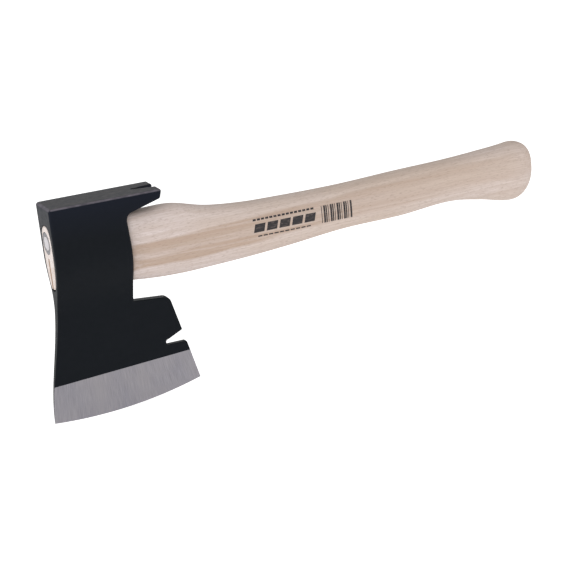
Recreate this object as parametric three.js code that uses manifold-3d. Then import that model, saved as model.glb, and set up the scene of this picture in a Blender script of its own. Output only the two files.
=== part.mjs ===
// Carpenter's claw hatchet: a forged head wedged on a one-piece beech handle.
// Millimetres. +X runs from the head's front face to the end of the handle, +Z points to the poll
// and -Z to the cutting edge, and Y = 0 is the plane that halves the head and the handle.
// The origin is the middle of the hammer face on top of the poll.

import * as THREE from "three";
import { mergeVertices } from "three/addons/utils/BufferGeometryUtils.js";
import Module from "manifold-3d";

// ---------------------------------------------------------------- driving dimensions

const OVERALL_LENGTH = 378; // head's front face to the end of the knob
const FIT_GAP = 0.3; // between two pieces that seat on each other

// Head, seen from the side
const HEAD_HEIGHT = 155.9; // hammer face to the lowest point of the cutting edge
const EYE_LENGTH = 56; // front face to rear face of the eye
const REAR_FACE_LEAN = 1.4; // how far the claw's root stands in front of the rear of the eye
const REAR_FACE_PULL = 2.2; // how far behind it the handle of the rear face's curve stands
const REAR_PULL_DEPTH = 56; // hammer face to that handle
const FRONT_LEAN = 1.5; // how far the front face falls back by the foot of the eye
const POLL_CORNER = 1.2; // chamfer round the hammer face
const CLAW_REACH = 25.4; // rear face of the eye to the tips of the claw
const CLAW_TIP_DEPTH = 6.6;
const CLAW_ROOT_DEPTH = 13.8; // depth of the claw where it leaves the eye
const CLAW_TIP_CORNER = 1;
const CLAW_FILLET = 3.5;
const BEARD_TOP = 78.2; // hammer face to the top of the beard
const BEARD_TOP_FALL = 2.2; // how far the top of the beard slopes down to the rear
const BEARD_LENGTH = 26.6; // rear face of the eye to the beard's upper corner
const BEARD_CORNER = 6;
const BLADE_REAR_LEAN = THREE.MathUtils.degToRad(15.6);
const FRONT_CURVE = 37; // length of the front curve's handle below the eye
const TOE_CURVE = 30; // and of its handle above the toe
const TOE_FORWARD = 9.6; // how far the toe stands in front of the poll
const EDGE_RADIUS = 310;
const TOE_RISE = 1.2; // how far the toe lies above the lowest point of the edge

// Head, seen from the front
const POLL_WIDTH = 29.2;
const EYE_WIDTH_LOSS = 1.2; // how much narrower the head is at the widest part of the eye
const EYE_WAIST_DEPTH = 36; // hammer face to where the cheeks start to draw in
const CHEEK_CURVE = 0.36; // share of the cheek's height that its curve's handles reach
const BLADE_THICKNESS = 7; // where the cheeks meet the blade
const BEVEL_THICKNESS = 3.8; // where the ground bevel starts
const EDGE_THICKNESS = 0.4;
const BEVEL_WIDTH_TOE = 26.5;
const BEVEL_WIDTH_HEEL = 23;

// Eye
const EYE_TOP = 14; // hammer face to the top of the eye
const EYE_HALF_WIDTH = 9;
const EYE_HEIGHT_FRONT = 46.5;
const EYE_HEIGHT_REAR = 49.5;
const EGG_TAPER = 0.22; // 0 is an even oval, more is wider above than below
const EGG_SQUARENESS = 2.5; // 2 is an ellipse, more is squarer

// Claw slot and nail notch
const SLOT_LENGTH = 17.5;
const SLOT_MOUTH = 8.6;
const SLOT_ROOT_RADIUS = 0.9;
const NOTCH_DEPTH = 14.8; // from the rear of the blade to the notch's root
const NOTCH_ABOVE_BEVEL = 9.1; // start of the bevel to the middle of the notch's root
const NOTCH_ROOT_RADIUS = 2;
const NOTCH_MOUTH_RISE = 6; // how much further the notch opens upwards at its mouth

// Handle: height and width at stations along it
const TENON_PROUD = 0.4; // how far the tenon's end stands out of the eye
const TENON_CHAMFER = 0.8;
const SWELL_HEIGHT = 50.8;
const SWELL_WIDTH = 22;
const GRIP_HEIGHT = 33;
const GRIP_WIDTH = 23;
const WRIST_HEIGHT = 32.4; // slimmest place, in front of the knob
const WRIST_WIDTH = 22.5;
const KNOB_HEIGHT = 43;
const KNOB_WIDTH = 29;
const KNOB_LENGTH = 62; // wrist to the end of the handle
const KNOB_ROUND = 19; // how far from the end the knob starts to round off
const KNOB_SQUARENESS = 2.3;
const KNOB_FLAT = 0.1; // share of the knob's section that is flat at its very end

// Wedges
const RING_TO_EYE = 1.2; // wood and gap between the ring and the sides of the eye
const RING_WALL = 2.8; // at the end that shows
const RING_LENGTH = 14;
const RING_BORE = 3; // length of the straight bore before it opens out
const RING_POINT_WALL = 0.5; // wall at the ring's driven end
const RING_BELOW_EYE_TOP = 12.3; // top of the eye to the ring's centre
const WEDGE_THICKNESS = 2.4;
const WEDGE_POINT_THICKNESS = 0.8;
const WEDGE_LENGTH = 26;
const WEDGE_BELOW_RING = 3.2; // wood between the ring and the top of the wooden wedge

// How finely round shapes are cut
const ARC_STEPS = 14;
const SECTION_POINTS = 40;
const HANDLE_SECTIONS = 40;
const RING_STEPS = 40;

// ---------------------------------------------------------------- solid modelling

const wasm = await Module();
wasm.setup();

// A closed geometry as a manifold solid.
function solidOf(geometry) {
  const bare = geometry.clone();
  bare.deleteAttribute("normal");
  bare.deleteAttribute("uv");
  const merged = mergeVertices(bare, 1e-4);
  return new wasm.Manifold(
    new wasm.Mesh({
      numProp: 3,
      vertProperties: new Float32Array(merged.attributes.position.array),
      triVerts: new Uint32Array(merged.index.array),
    }),
  );
}

// A solid's mesh with flat shading, ready to show.
function geometryOf(solid) {
  const mesh = solid.getMesh();
  const geometry = new THREE.BufferGeometry();
  geometry.setAttribute("position", new THREE.BufferAttribute(mesh.vertProperties, 3));
  geometry.setIndex(new THREE.BufferAttribute(mesh.triVerts, 1));
  const faceted = geometry.toNonIndexed();
  faceted.computeVertexNormals();
  return faceted;
}

// A closed skin over rings of points. Each ring holds the same number of points, anticlockwise
// as seen from the end that the rings run towards.
function loft(rings) {
  const count = rings[0].length;
  const points = rings.flat();
  const faces = [];
  for (let ring = 0; ring < rings.length - 1; ring++) {
    for (let i = 0; i < count; i++) {
      const a = ring * count + i;
      const b = ring * count + ((i + 1) % count);
      faces.push(a, b, b + count, a, b + count, a + count);
    }
  }
  const last = (rings.length - 1) * count;
  for (let i = 1; i < count - 1; i++) {
    faces.push(0, i + 1, i);
    faces.push(last, last + i, last + i + 1);
  }
  return solidOf(new THREE.BufferGeometry().setFromPoints(points).setIndex(faces));
}

// A side-view shape (x, z) pushed through the whole width of the head.
function throughWidth(shape, width) {
  const geometry = new THREE.ExtrudeGeometry(shape, {
    depth: width,
    bevelEnabled: false,
    curveSegments: ARC_STEPS,
  });
  geometry.rotateX(Math.PI / 2).translate(0, width / 2, 0);
  return solidOf(geometry);
}

// A front-view shape (y, z) pushed along X from one place to another.
function alongLength(shape, from, to) {
  const geometry = new THREE.ExtrudeGeometry(shape, {
    depth: to - from,
    bevelEnabled: false,
    curveSegments: ARC_STEPS,
  });
  const turn = new THREE.Matrix4().makeBasis(
    new THREE.Vector3(0, 1, 0),
    new THREE.Vector3(0, 0, 1),
    new THREE.Vector3(1, 0, 0),
  );
  geometry.applyMatrix4(turn).translate(from, 0, 0);
  return solidOf(geometry);
}

// A top-view shape (x, y) pushed down from one height to another.
function downwards(shape, top, bottom) {
  const geometry = new THREE.ExtrudeGeometry(shape, {
    depth: top - bottom,
    bevelEnabled: false,
    curveSegments: ARC_STEPS,
  });
  geometry.translate(0, 0, bottom);
  return solidOf(geometry);
}

// An egg-shaped ring of points in the plane at x, wider above its middle than below.
function eggRing(x, middle, halfHeight, halfWidth, taper) {
  const bend = (value) => Math.sign(value) * Math.abs(value) ** (2 / EGG_SQUARENESS);
  const ring = [];
  for (let i = 0; i < SECTION_POINTS; i++) {
    const angle = (2 * Math.PI * i) / SECTION_POINTS;
    const across = bend(Math.cos(angle)) * (1 + taper * Math.sin(angle));
    ring.push(
      new THREE.Vector3(x, halfWidth * across, middle + halfHeight * bend(Math.sin(angle))),
    );
  }
  return ring;
}

// ---------------------------------------------------------------- places worked out from the sizes

const FRONT = -EYE_LENGTH / 2; // the hammer face is centred on the origin
const REAR = EYE_LENGTH / 2;
const OUTSIDE = 20; // how far cutting solids run past what they cut

// The cutting edge is one arc. Its centre lies above the edge's lowest point.
const toe = new THREE.Vector2(FRONT - TOE_FORWARD, -HEAD_HEIGHT + TOE_RISE);
const edgeCentre = new THREE.Vector2(
  toe.x + Math.sqrt(EDGE_RADIUS ** 2 - (EDGE_RADIUS - TOE_RISE) ** 2),
  EDGE_RADIUS - HEAD_HEIGHT,
);
const beardCorner = new THREE.Vector2(REAR + BEARD_LENGTH, -BEARD_TOP - BEARD_TOP_FALL);

// The heel is where the leaning rear of the blade meets the edge's arc.
function findHeel() {
  const along = new THREE.Vector2(Math.sin(BLADE_REAR_LEAN), -Math.cos(BLADE_REAR_LEAN));
  const fromCentre = beardCorner.clone().sub(edgeCentre);
  const half = fromCentre.dot(along);
  const reach = -half + Math.sqrt(half ** 2 - fromCentre.lengthSq() + EDGE_RADIUS ** 2);
  return beardCorner.clone().addScaledVector(along, reach);
}
const heel = findHeel();

const upTheRear = beardCorner.clone().sub(heel).normalize();
const bevelAtHeel = heel.clone().addScaledVector(upTheRear, BEVEL_WIDTH_HEEL);
const bevelAtToe = toe.clone().add(new THREE.Vector2(0, BEVEL_WIDTH_TOE));
const bladeHalf = BLADE_THICKNESS / 2;
const bevelHalf = BEVEL_THICKNESS / 2;

function eyeAt(x, gap) {
  const share = (x - FRONT) / EYE_LENGTH;
  const height = THREE.MathUtils.lerp(EYE_HEIGHT_FRONT, EYE_HEIGHT_REAR, share);
  return {
    middle: -EYE_TOP - height / 2,
    halfHeight: height / 2 - gap,
    halfWidth: EYE_HALF_WIDTH - gap,
  };
}

// ---------------------------------------------------------------- axe head

function headSide() {
  const shape = new THREE.Shape();
  const footOfEye = -EYE_TOP - EYE_HEIGHT_FRONT;
  shape.moveTo(FRONT + POLL_CORNER, 0);
  shape.lineTo(FRONT, -POLL_CORNER);
  shape.lineTo(FRONT + FRONT_LEAN, footOfEye);
  shape.bezierCurveTo(
    FRONT + FRONT_LEAN, footOfEye - FRONT_CURVE,
    toe.x, toe.y + TOE_CURVE,
    toe.x, toe.y,
  );
  const start = Math.atan2(toe.y - edgeCentre.y, toe.x - edgeCentre.x);
  const end = Math.atan2(heel.y - edgeCentre.y, heel.x - edgeCentre.x);
  shape.absarc(edgeCentre.x, edgeCentre.y, EDGE_RADIUS, start, end, false);
  const underCorner = beardCorner.clone().addScaledVector(upTheRear, -BEARD_CORNER);
  shape.lineTo(underCorner.x, underCorner.y);
  shape.quadraticCurveTo(
    beardCorner.x, beardCorner.y,
    beardCorner.x - BEARD_CORNER,
    beardCorner.y + (BEARD_TOP_FALL * BEARD_CORNER) / BEARD_LENGTH,
  );
  shape.lineTo(REAR, -BEARD_TOP);
  const clawRoot = REAR - REAR_FACE_LEAN;
  const clawFoot = -CLAW_ROOT_DEPTH - CLAW_FILLET;
  const climb = (CLAW_ROOT_DEPTH - CLAW_TIP_DEPTH) / (CLAW_REACH + REAR_FACE_LEAN);
  shape.quadraticCurveTo(REAR + REAR_FACE_PULL, -REAR_PULL_DEPTH, clawRoot, clawFoot);
  shape.quadraticCurveTo(
    clawRoot, -CLAW_ROOT_DEPTH,
    clawRoot + CLAW_FILLET, -CLAW_ROOT_DEPTH + climb * CLAW_FILLET,
  );
  shape.lineTo(REAR + CLAW_REACH - CLAW_TIP_CORNER, -CLAW_TIP_DEPTH);
  shape.lineTo(REAR + CLAW_REACH, -CLAW_TIP_DEPTH + CLAW_TIP_CORNER);
  shape.lineTo(REAR + CLAW_REACH, 0);
  return shape;
}

function headFront() {
  const poll = POLL_WIDTH / 2;
  const eye = poll - EYE_WIDTH_LOSS / 2;
  const belly = (BEARD_TOP - EYE_WAIST_DEPTH) * CHEEK_CURVE;
  const bevelStart = (bevelAtToe.y + bevelAtHeel.y) / 2;
  const shape = new THREE.Shape();
  shape.moveTo(0, 0);
  shape.lineTo(-(poll - POLL_CORNER), 0);
  shape.lineTo(-poll, -POLL_CORNER);
  shape.lineTo(-eye, -EYE_WAIST_DEPTH);
  shape.bezierCurveTo(
    -eye, -EYE_WAIST_DEPTH - belly,
    -bladeHalf, -BEARD_TOP + belly,
    -bladeHalf, -BEARD_TOP,
  );
  shape.lineTo(-bevelHalf, bevelStart);
  shape.lineTo(-bevelHalf, -HEAD_HEIGHT - OUTSIDE);
  shape.lineTo(bevelHalf, -HEAD_HEIGHT - OUTSIDE);
  shape.lineTo(bevelHalf, bevelStart);
  shape.lineTo(bladeHalf, -BEARD_TOP);
  shape.bezierCurveTo(
    bladeHalf, -BEARD_TOP + belly,
    eye, -EYE_WAIST_DEPTH - belly,
    eye, -EYE_WAIST_DEPTH,
  );
  shape.lineTo(poll, -POLL_CORNER);
  shape.lineTo(poll - POLL_CORNER, 0);
  return shape;
}

// One side's ground bevel as a cutting solid: it leans from the bevel line in to the edge.
function bevelCutter() {
  const fromToe = Math.atan2(toe.y - edgeCentre.y, toe.x - edgeCentre.x);
  const toHeel = Math.atan2(heel.y - edgeCentre.y, heel.x - edgeCentre.x);
  const overrun = 0.2; // the cut runs this share past every side of the bevel
  const edgeHalf = EDGE_THICKNESS / 2;
  const rings = [];
  for (let step = 0; step <= ARC_STEPS; step++) {
    const share = THREE.MathUtils.lerp(-overrun, 1 + overrun, step / ARC_STEPS);
    const angle = THREE.MathUtils.lerp(fromToe, toHeel, share);
    const line = bevelAtToe.clone().lerp(bevelAtHeel, share);
    const edge = new THREE.Vector2(Math.cos(angle), Math.sin(angle))
      .multiplyScalar(EDGE_RADIUS)
      .add(edgeCentre);
    const top = line.clone().lerp(edge, -overrun);
    const foot = line.clone().lerp(edge, 1 + overrun);
    rings.push([
      new THREE.Vector3(top.x, THREE.MathUtils.lerp(bevelHalf, edgeHalf, -overrun), top.y),
      new THREE.Vector3(foot.x, THREE.MathUtils.lerp(bevelHalf, edgeHalf, 1 + overrun), foot.y),
      new THREE.Vector3(foot.x, OUTSIDE, foot.y),
      new THREE.Vector3(top.x, OUTSIDE, top.y),
    ]);
  }
  return loft(rings);
}

// The claw's slot: a V from the tips forward to a round root.
function clawSlot() {
  const tip = REAR + CLAW_REACH;
  const root = tip - SLOT_LENGTH + SLOT_ROOT_RADIUS;
  const mouth = SLOT_MOUTH / 2;
  const beyond = mouth + (OUTSIDE * (mouth - SLOT_ROOT_RADIUS)) / (tip - root);
  const shape = new THREE.Shape();
  shape.moveTo(root, -SLOT_ROOT_RADIUS);
  shape.lineTo(tip + OUTSIDE, -beyond);
  shape.lineTo(tip + OUTSIDE, beyond);
  shape.lineTo(root, SLOT_ROOT_RADIUS);
  shape.absarc(root, 0, SLOT_ROOT_RADIUS, Math.PI / 2, -Math.PI / 2, false);
  return downwards(shape, OUTSIDE, -CLAW_ROOT_DEPTH - CLAW_FILLET - OUTSIDE);
}

// The nail notch in the rear of the blade: level below, sloping above, round at its root.
function nailNotch() {
  const middle = bevelAtHeel.y + NOTCH_ABOVE_BEVEL;
  const mouth = bevelAtHeel.x + NOTCH_ABOVE_BEVEL * Math.tan(-BLADE_REAR_LEAN);
  const root = mouth - NOTCH_DEPTH + NOTCH_ROOT_RADIUS;
  const past = mouth + OUTSIDE;
  const climb = NOTCH_MOUTH_RISE / (NOTCH_DEPTH - NOTCH_ROOT_RADIUS);
  const shape = new THREE.Shape();
  shape.moveTo(root, middle - NOTCH_ROOT_RADIUS);
  shape.lineTo(past, middle - NOTCH_ROOT_RADIUS);
  shape.lineTo(past, middle + NOTCH_ROOT_RADIUS + climb * (past - root));
  shape.lineTo(root, middle + NOTCH_ROOT_RADIUS);
  shape.absarc(root, middle, NOTCH_ROOT_RADIUS, Math.PI / 2, (3 * Math.PI) / 2, false);
  return throughWidth(shape, 2 * OUTSIDE);
}

function eyeHole() {
  const ends = [FRONT - OUTSIDE, REAR + OUTSIDE];
  return loft(
    ends.map((x) => {
      const eye = eyeAt(x, 0);
      return eggRing(x, eye.middle, eye.halfHeight, eye.halfWidth, EGG_TAPER);
    }),
  );
}

function axeHead() {
  const bevel = bevelCutter();
  return throughWidth(headSide(), 2 * OUTSIDE)
    .intersect(alongLength(headFront(), toe.x - OUTSIDE, heel.x + OUTSIDE))
    .subtract(bevel)
    .subtract(bevel.mirror([0, 1, 0]))
    .subtract(eyeHole())
    .subtract(clawSlot())
    .subtract(nailNotch());
}

// ---------------------------------------------------------------- handle

const tenonEnd = FRONT - TENON_PROUD;
const shoulder = REAR + REAR_FACE_PULL / 2 + FIT_GAP;
const handleEnd = FRONT + OVERALL_LENGTH;
const wrist = handleEnd - KNOB_LENGTH;
const mouth = eyeAt(REAR, FIT_GAP);

// Each row: place, drop of the middle below the eye's middle, height, width, egg taper.
function handleStations() {
  const grip = wrist - shoulder;
  return [
    [shoulder, 0, 2 * mouth.halfHeight, 2 * mouth.halfWidth, EGG_TAPER],
    [shoulder + 6, 0.7, SWELL_HEIGHT - 1.6, SWELL_WIDTH - 1, 0.18],
    [shoulder + 0.13 * grip, 1.7, SWELL_HEIGHT, SWELL_WIDTH, 0.12],
    [shoulder + 0.23 * grip, 4.5, (SWELL_HEIGHT + GRIP_HEIGHT) / 2 + 2, SWELL_WIDTH, 0.06],
    [shoulder + 0.34 * grip, 5.4, GRIP_HEIGHT + 6.5, GRIP_WIDTH, 0.04],
    [shoulder + 0.45 * grip, 4.8, GRIP_HEIGHT + 3.7, GRIP_WIDTH, 0.02],
    [shoulder + 0.63 * grip, 2.8, GRIP_HEIGHT - 0.7, GRIP_WIDTH, 0],
    [shoulder + 0.8 * grip, 1.6, WRIST_HEIGHT + 0.8, GRIP_WIDTH, 0],
    [wrist, -0.4, WRIST_HEIGHT, WRIST_WIDTH, 0],
    [wrist + 0.28 * KNOB_LENGTH, 0.5, (WRIST_HEIGHT + KNOB_HEIGHT) / 2 - 1.4, 24.5, 0],
    [handleEnd - KNOB_ROUND, 1.8, KNOB_HEIGHT, KNOB_WIDTH, 0],
    [handleEnd, -1.6, KNOB_HEIGHT, KNOB_WIDTH, 0],
  ];
}

function handleBody() {
  const stations = handleStations();
  const spline = new THREE.CubicInterpolant(
    new Float32Array(stations.map((row) => row[0])),
    new Float32Array(stations.flatMap((row) => row.slice(1))),
    stations[0].length - 1,
    new Float32Array(stations[0].length - 1),
  );
  const rings = [];
  for (const x of [tenonEnd, tenonEnd + TENON_CHAMFER, REAR]) {
    const eye = eyeAt(x, x === tenonEnd ? FIT_GAP + TENON_CHAMFER : FIT_GAP);
    rings.push(eggRing(x, eye.middle, eye.halfHeight, eye.halfWidth, EGG_TAPER));
  }
  for (let step = 0; step <= HANDLE_SECTIONS; step++) {
    // Sections lie closer together towards the round end.
    const along = Math.sin((Math.PI / 2) * (step / HANDLE_SECTIONS));
    const x = THREE.MathUtils.lerp(shoulder, handleEnd, along);
    const [drop, height, width, taper] = spline.evaluate(x);
    const intoEnd = Math.max(0, (x - handleEnd + KNOB_ROUND) / KNOB_ROUND);
    const round = Math.max(KNOB_FLAT, (1 - intoEnd ** KNOB_SQUARENESS) ** (1 / KNOB_SQUARENESS));
    rings.push(
      eggRing(x, mouth.middle - drop, (height / 2) * round, (width / 2) * round, taper),
    );
  }
  return loft(rings);
}

// ---------------------------------------------------------------- wedges

const ringCentre = -EYE_TOP - RING_BELOW_EYE_TOP;
const ringOutside = EYE_HALF_WIDTH - RING_TO_EYE;
const ringInside = ringOutside - RING_WALL;
const wedgeTop = ringCentre - ringOutside - WEDGE_BELOW_RING;

// A tube driven in along X, whose inside opens out to a thin point. The gap makes the groove.
function ringTube(gap, start) {
  const end = tenonEnd + RING_LENGTH + gap;
  const profile = [
    [ringInside - gap, start],
    [ringOutside + gap, start],
    [ringOutside + gap, end],
    [ringOutside - RING_POINT_WALL - gap, end],
    [ringInside - gap, tenonEnd + RING_BORE],
    [ringInside - gap, start],
  ];
  const geometry = new THREE.LatheGeometry(
    profile.map(([radius, along]) => new THREE.Vector2(radius, along)),
    RING_STEPS,
  );
  geometry.rotateZ(-Math.PI / 2).translate(0, 0, ringCentre);
  return solidOf(geometry);
}

// The wooden wedge in the kerf, thick at the tenon's end. The gap makes the kerf.
function wedgeBlock(gap, start) {
  const tip = tenonEnd + WEDGE_LENGTH + gap;
  const halfAt = (x) =>
    gap +
    THREE.MathUtils.mapLinear(
      x,
      tenonEnd, tenonEnd + WEDGE_LENGTH,
      WEDGE_THICKNESS / 2, WEDGE_POINT_THICKNESS / 2,
    );
  const shape = new THREE.Shape();
  shape.moveTo(start, -halfAt(start));
  shape.lineTo(tip, -halfAt(tip));
  shape.lineTo(tip, halfAt(tip));
  shape.lineTo(start, halfAt(start));
  return downwards(shape, wedgeTop + gap, -EYE_TOP - EYE_HEIGHT_REAR - OUTSIDE);
}

// ---------------------------------------------------------------- the assembly

function piece(name, solid, color, roughness, metalness) {
  const material = new THREE.MeshStandardMaterial({ color, roughness, metalness });
  material.name = name;
  const mesh = new THREE.Mesh(geometryOf(solid), material);
  mesh.name = name;
  return mesh;
}

const body = handleBody();
const hatchet = new THREE.Group();
hatchet.add(
  piece("axe_head", axeHead(), 0x23272b, 0.42, 0.35),
  piece(
    "handle",
    body
      .subtract(ringTube(FIT_GAP, tenonEnd - OUTSIDE))
      .subtract(wedgeBlock(FIT_GAP, tenonEnd - OUTSIDE)),
    0xd6c3b2,
    0.62,
    0,
  ),
  piece("ring_wedge", ringTube(0, tenonEnd), 0x8b8d91, 0.4, 0.9),
  piece("wood_wedge", wedgeBlock(0, tenonEnd).intersect(body), 0xa27a55, 0.7, 0),
);

export default hatchet;
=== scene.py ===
# %% [markdown]
# # A carpenter's claw hatchet
#
# A CAD model has already settled every size of this hatchet: a forged head with a flat poll and
# a nail claw, a beech handle, and the two wedges that hold them together. This lesson gives it
# its looks. Each piece is made again with a finer, rounder mesh in the same place, and each
# surface gets a material that is mixed from nodes. Nothing is moved or resized.
#
# The first step loads the CAD model as a fixed frame and keeps its box. Blender works in metres,
# so sizes in millimetres are multiplied by MM.

# %% Load the CAD model
import math

import bmesh
import bpy
from mathutils import Matrix, Vector, geometry


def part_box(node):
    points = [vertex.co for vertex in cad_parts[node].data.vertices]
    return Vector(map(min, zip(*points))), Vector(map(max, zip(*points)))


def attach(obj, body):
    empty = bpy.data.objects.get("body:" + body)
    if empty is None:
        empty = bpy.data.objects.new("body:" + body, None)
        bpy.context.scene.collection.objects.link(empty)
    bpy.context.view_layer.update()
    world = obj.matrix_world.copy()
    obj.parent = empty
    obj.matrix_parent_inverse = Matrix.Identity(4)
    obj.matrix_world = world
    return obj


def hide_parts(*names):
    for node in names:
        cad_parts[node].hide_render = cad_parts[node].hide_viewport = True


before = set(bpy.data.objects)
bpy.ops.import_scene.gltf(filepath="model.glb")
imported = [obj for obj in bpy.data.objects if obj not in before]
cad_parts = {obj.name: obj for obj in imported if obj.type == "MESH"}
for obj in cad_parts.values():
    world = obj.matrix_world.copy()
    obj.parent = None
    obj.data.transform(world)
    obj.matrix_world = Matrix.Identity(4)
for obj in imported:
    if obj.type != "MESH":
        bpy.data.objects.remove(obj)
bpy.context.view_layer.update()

MM = 0.001
print("CAD nodes:", ", ".join(sorted(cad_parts)))

# %% [markdown]
# ## The camera
#
# A long lens, well over a metre away, keeps the hatchet's edges nearly parallel. The camera looks
# a little down on the hatchet and sees its front face at a slant. Three angles say where it
# stands, and a rotation is built from its three axes.

# %% Place the camera
ROUND_THE_HATCHET = math.radians(-22.95)  # from the side view, towards the front face
ABOVE_THE_HATCHET = math.radians(17.15)
CAMERA_ROLL = math.radians(5.1)
CAMERA_DISTANCE = 1.4
LENS = 124.67
LOOKED_AT = Vector((141.77, 0, -88.52)) * MM

backwards = Vector((
    math.sin(ROUND_THE_HATCHET) * math.cos(ABOVE_THE_HATCHET),
    -math.cos(ROUND_THE_HATCHET) * math.cos(ABOVE_THE_HATCHET),
    math.sin(ABOVE_THE_HATCHET),
))
level = Vector((math.cos(ROUND_THE_HATCHET), math.sin(ROUND_THE_HATCHET), 0))
upright = backwards.cross(level)
rightwards = math.cos(CAMERA_ROLL) * level - math.sin(CAMERA_ROLL) * upright
upwards = math.sin(CAMERA_ROLL) * level + math.cos(CAMERA_ROLL) * upright

camera = bpy.data.objects.new("camera", bpy.data.cameras.new("camera"))
bpy.context.scene.collection.objects.link(camera)
camera.data.lens = LENS
camera.rotation_mode = "QUATERNION"
camera.rotation_quaternion = Matrix((rightwards, upwards, backwards)).transposed().to_quaternion()
camera.location = LOOKED_AT + CAMERA_DISTANCE * backwards
bpy.context.scene.camera = camera
print("camera at", [round(place, 3) for place in camera.location])

# %% [markdown]
# ## A light, pale studio
#
# The hatchet is shown on white. The floor is nearly white and glows a little, so that its shadow
# stays faint. World and floor are brighter where the camera sees them than they are as lamps:
# light that comes evenly from everywhere would show no shape, and would turn black lacquer grey.
# Big soft lamps add the direction.

# %% Floor, world and lamps
FLOOR_SIZE = 6.0
FLOOR_GLOW, FLOOR_LIGHT = 0.75, 0.44  # as the camera sees it, and as a lamp
WORLD_LIGHT = 0.38

head_low, head_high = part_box("axe_head")
handle_low, handle_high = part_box("handle")


def wire(tree, kind, sockets=None, **settings):
    """Adds a node. Each socket is given a plain value, or another node's output to link."""
    made = tree.nodes.new("ShaderNode" + kind)
    for name, value in settings.items():
        setattr(made, name, value)
    for name, value in (sockets or {}).items():
        if isinstance(value, bpy.types.NodeSocket):
            tree.links.new(value, made.inputs[name])
        else:
            made.inputs[name].default_value = value
    return made


def fresh_material(name):
    """A new material with an empty node tree and its output node."""
    material = bpy.data.materials.new(name)
    material.use_nodes = True
    material.node_tree.nodes.clear()
    return material, material.node_tree, material.node_tree.nodes.new("ShaderNodeOutputMaterial")


def make_floor():
    mesh = bmesh.new()
    bmesh.ops.create_grid(mesh, x_segments=1, y_segments=1, size=FLOOR_SIZE / 2)
    data = bpy.data.meshes.new("studio_floor")
    mesh.to_mesh(data)
    mesh.free()
    material, tree, output = fresh_material("pale_floor")
    seen = wire(tree, "LightPath").outputs["Is Camera Ray"]
    glow = wire(tree, "MapRange", {"Value": seen, "To Min": FLOOR_LIGHT, "To Max": FLOOR_GLOW})
    surface = wire(tree, "BsdfPrincipled", {
        "Base Color": (0.8, 0.8, 0.8, 1),
        "Roughness": 0.9,
        "Emission Color": (1, 1, 1, 1),
        "Emission Strength": glow.outputs[0],
    })
    tree.links.new(surface.outputs[0], output.inputs["Surface"])
    data.materials.append(material)
    floor = bpy.data.objects.new("studio_floor", data)
    floor.location = (LOOKED_AT.x, 0, head_low.z - 0.1 * MM)
    bpy.context.scene.collection.objects.link(floor)


def make_world():
    world = bpy.data.worlds.new("studio")
    world.use_nodes = True
    tree = world.node_tree
    tree.nodes.clear()
    seen = wire(tree, "LightPath").outputs["Is Camera Ray"]
    strength = wire(tree, "MapRange", {"Value": seen, "To Min": WORLD_LIGHT, "To Max": 1.0})
    glow = wire(tree, "Background", {"Color": (1, 1, 1, 1), "Strength": strength.outputs[0]})
    output = tree.nodes.new("ShaderNodeOutputWorld")
    tree.links.new(glow.outputs[0], output.inputs["Surface"])
    bpy.context.scene.world = world


def soft_lamp(name, place, size, power):
    """A square softbox that faces the hatchet and isn't seen itself."""
    lamp = bpy.data.lights.new(name, "AREA")
    lamp.size = size
    lamp.energy = power
    holder = bpy.data.objects.new(name, lamp)
    holder.location = LOOKED_AT + Vector(place)
    holder.rotation_euler = Vector(place).to_track_quat("Z", "Y").to_euler()
    holder.visible_camera = False
    bpy.context.scene.collection.objects.link(holder)


make_floor()
make_world()
soft_lamp("key_lamp", (-0.9, -1.5, 1.1), 1.2, 14)
soft_lamp("fill_lamp", (1.5, -1.0, 0.7), 1.0, 9)
soft_lamp("front_lamp", (-1.8, -0.1, 0.2), 0.8, 12)
soft_lamp("back_lamp", (0.2, 1.6, 1.2), 1.2, 5)
bpy.context.scene.view_settings.view_transform = "Standard"
print("studio: floor, world and", len(bpy.data.lights), "lamps")

# %% [markdown]
# ## Tools for making meshes
#
# Most pieces here are skins over rings: a row of closed loops of points, joined by quads, with
# the two end loops filled in. A handle is such a skin, and so is the cutter for a hole. A solid
# that has holes is made by cutting those cutters out of it with a manifold boolean. A bevel
# modifier would be quicker for rounding rims, but it breaks on the many fine edges that meet
# along a curved rim, so here the roundings are drawn as loops of their own.

# %% Skins, cuts and finished pieces
SMOOTH_UP_TO = math.radians(32)  # edges that turn more than this stay crisp


def skin(rings, ring_shaped=False):
    """A closed mesh over rings of points. A ring-shaped skin meets itself instead of ending."""
    mesh = bmesh.new()
    loops = [[mesh.verts.new(point) for point in ring] for ring in rings]
    count = len(rings[0])
    pairs = list(zip(loops, loops[1:]))
    if ring_shaped:
        pairs.append((loops[-1], loops[0]))
    for near, far in pairs:
        for i in range(count):
            j = (i + 1) % count
            mesh.faces.new((near[i], near[j], far[j], far[i]))
    if not ring_shaped:
        mesh.faces.new(loops[0])
        mesh.faces.new(loops[-1])
    bmesh.ops.recalc_face_normals(mesh, faces=mesh.faces)
    return mesh


def as_object(name, mesh, *materials):
    """Turns a bmesh into an object in the scene, in the place where its points are."""
    data = bpy.data.meshes.new(name)
    for material in materials:
        data.materials.append(material)
    mesh.to_mesh(data)
    mesh.free()
    made = bpy.data.objects.new(name, data)
    bpy.context.scene.collection.objects.link(made)
    return made


def cut_away(target, *cutters):
    """Cuts the cutters out of the target, and leaves a plain mesh with no modifiers."""
    for cutter in cutters:
        boolean = target.modifiers.new("cut", "BOOLEAN")
        boolean.operation = "DIFFERENCE"
        boolean.solver = "MANIFOLD"
        boolean.object = cutter
    graph = bpy.context.evaluated_depsgraph_get()
    result = bpy.data.meshes.new_from_object(target.evaluated_get(graph))
    target.modifiers.clear()
    target.data = result
    for cutter in cutters:
        bpy.data.objects.remove(cutter)


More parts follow.
